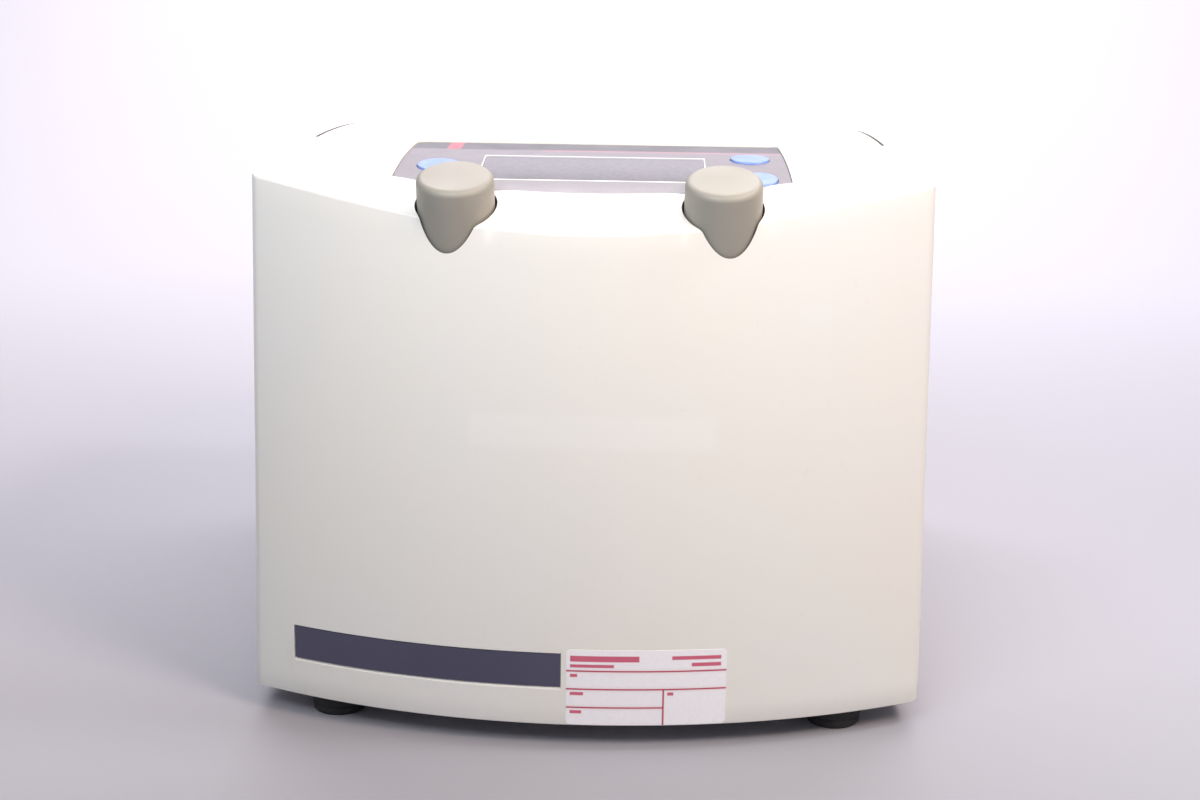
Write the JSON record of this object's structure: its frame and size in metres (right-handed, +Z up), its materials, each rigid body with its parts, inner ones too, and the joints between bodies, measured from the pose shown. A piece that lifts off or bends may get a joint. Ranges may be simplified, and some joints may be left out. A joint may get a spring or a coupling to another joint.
{
  "type": "microcentrifuge",
  "caption": "Bench microcentrifuge: cream moulded housing with a bowed front, hinged lid over a rotor chamber, two round knobs and a display panel on the sloping front edge.",
  "frame": {"origin": "on the bench, under the centre of the body", "axes": "+X to the right as seen from the front, +Y to the back, +Z up; the controls and the bowed face look along -Y"},
  "size_m": [0.2488, 0.3539, 0.2118],
  "materials": {
    "housing_plastic": "satin",
    "lid_plastic": "satin",
    "liner_plastic": "matte",
    "knob_plastic": "satin",
    "overlay_film": "satin",
    "key_blue": "satin",
    "window_glass": "gloss",
    "band_slate": "satin",
    "sticker_paper": "paper",
    "sheet_steel": "brushed",
    "bright_steel": "polished",
    "rotor_aluminium": "anodised",
    "black_rubber": "matte",
    "grey_rubber": "matte",
    "circuit_board": "satin",
    "black_plastic": "satin",
    "copper_winding": "enamelled",
    "clear_lens": "clear"
  },
  "bodies": {
    "housing": {"upper_housing": "housing_plastic", "base_pan": "sheet_steel", "rear_panel": "sheet_steel", "foot_front_left": "black_rubber", "foot_front_right": "black_rubber", "foot_rear_left": "black_rubber", "foot_rear_right": "black_rubber", "rear_screw_1": "bright_steel", "rear_screw_2": "bright_steel", "rear_screw_3": "bright_steel", "rear_screw_4": "bright_steel", "control_overlay": "overlay_film", "display_window": "window_glass", "display_module": "black_plastic", "control_board": "circuit_board", "speed_encoder": "black_plastic", "time_encoder": "black_plastic", "name_band": "band_slate", "inspection_sticker": "sticker_paper", "hinge_bracket_left": "black_plastic", "hinge_bracket_right": "black_plastic", "hinge_pin_left": "bright_steel", "hinge_pin_right": "bright_steel", "latch_bracket": "sheet_steel", "latch_solenoid": "copper_winding", "chamber_bowl": "sheet_steel", "spindle_seal": "black_rubber", "motor_housing": "sheet_steel", "motor_end_cap": "sheet_steel", "motor_stator": "copper_winding", "upper_bearing": "bright_steel", "lower_bearing": "bright_steel", "motor_isolator_1": "black_rubber", "motor_isolator_2": "black_rubber", "motor_isolator_3": "black_rubber", "drive_board": "circuit_board", "bulk_capacitor": "black_plastic", "transformer": "copper_winding", "iec_inlet": "black_plastic", "power_switch_frame": "black_plastic", "ribbon_cable": "grey_rubber"},
    "lid": {"lid_shell": "lid_plastic", "lid_liner": "liner_plastic", "lid_gasket": "grey_rubber", "viewport_lens": "clear_lens", "lid_striker": "bright_steel"},
    "rotor": {"rotor_body": "rotor_aluminium", "drive_spindle": "bright_steel", "motor_armature": "copper_winding", "motor_fan": "black_plastic"},
    "rotor_nut": {"rotor_nut": "black_plastic"},
    "speed_knob": {"speed_knob": "knob_plastic"},
    "time_knob": {"time_knob": "knob_plastic"},
    "key_left": {"key_left": "key_blue"},
    "key_right_rear": {"key_right_rear": "key_blue"},
    "key_right_front": {"key_right_front": "key_blue"},
    "latch_hook": {"latch_hook": "bright_steel"},
    "latch_plunger": {"latch_plunger": "bright_steel"},
    "fuse_drawer": {"fuse_drawer": "black_plastic"},
    "power_rocker": {"power_rocker": "black_plastic"}
  },
  "joints": [
    {"name": "lid_hinge", "type": "hinge", "parent": "housing", "child": "lid", "pos_m": [0, 0.125, 0.19716], "axis": [-1, 0, 0], "range_deg": [0, 80]},
    {"name": "rotor_spin", "type": "hinge", "parent": "housing", "child": "rotor", "pos_m": [0, 0.012, 0.15], "axis": [0, 0, 1], "continuous": true},
    {"name": "rotor_nut_turn", "type": "hinge", "parent": "rotor", "child": "rotor_nut", "pos_m": [0, 0.012, 0.16], "axis": [0, 0, 1], "continuous": true},
    {"name": "speed_knob_turn", "type": "hinge", "parent": "housing", "child": "speed_knob", "pos_m": [-0.0458, -0.1569, 0.1808], "axis": [0, -0.3584, 0.9336], "continuous": true},
    {"name": "time_knob_turn", "type": "hinge", "parent": "housing", "child": "time_knob", "pos_m": [0.0458, -0.1569, 0.1808], "axis": [0, -0.3584, 0.9336], "continuous": true},
    {"name": "key_left_press", "type": "slide", "parent": "housing", "child": "key_left", "axis": [0, 0.2225, -0.9749], "range_m": [0, 0.0005], "stiffness_N_per_m": 800, "springref_m": -0.0005},
    {"name": "key_right_rear_press", "type": "slide", "parent": "housing", "child": "key_right_rear", "axis": [0, 0.15, -0.9887], "range_m": [0, 0.0005], "stiffness_N_per_m": 800, "springref_m": -0.0005},
    {"name": "key_right_front_press", "type": "slide", "parent": "housing", "child": "key_right_front", "axis": [0, 0.292, -0.9564], "range_m": [0, 0.0005], "stiffness_N_per_m": 800, "springref_m": -0.0005},
    {"name": "latch_hook_swing", "type": "hinge", "parent": "housing", "child": "latch_hook", "pos_m": [0.092, -0.058, 0.146], "axis": [1, 0, 0], "range_deg": [0, 12], "stiffness_Nm_per_rad": 0.02, "springref_deg": -5.73},
    {"name": "latch_plunger_slide", "type": "slide", "parent": "housing", "child": "latch_plunger", "axis": [0, -1, 0], "range_m": [0, 0.003]},
    {"name": "fuse_drawer_slide", "type": "slide", "parent": "housing", "child": "fuse_drawer", "axis": [0, 1, 0], "range_m": [0, 0.016]},
    {"name": "power_rocker_tilt", "type": "hinge", "parent": "housing", "child": "power_rocker", "pos_m": [-0.028, 0.1685, 0.052], "axis": [-1, 0, 0], "range_deg": [0, 18]}
  ],
  "couplings": [
    {"joint": "latch_plunger_slide", "follows": "latch_hook_swing", "m_per_rad": 0.0115}
  ]
}
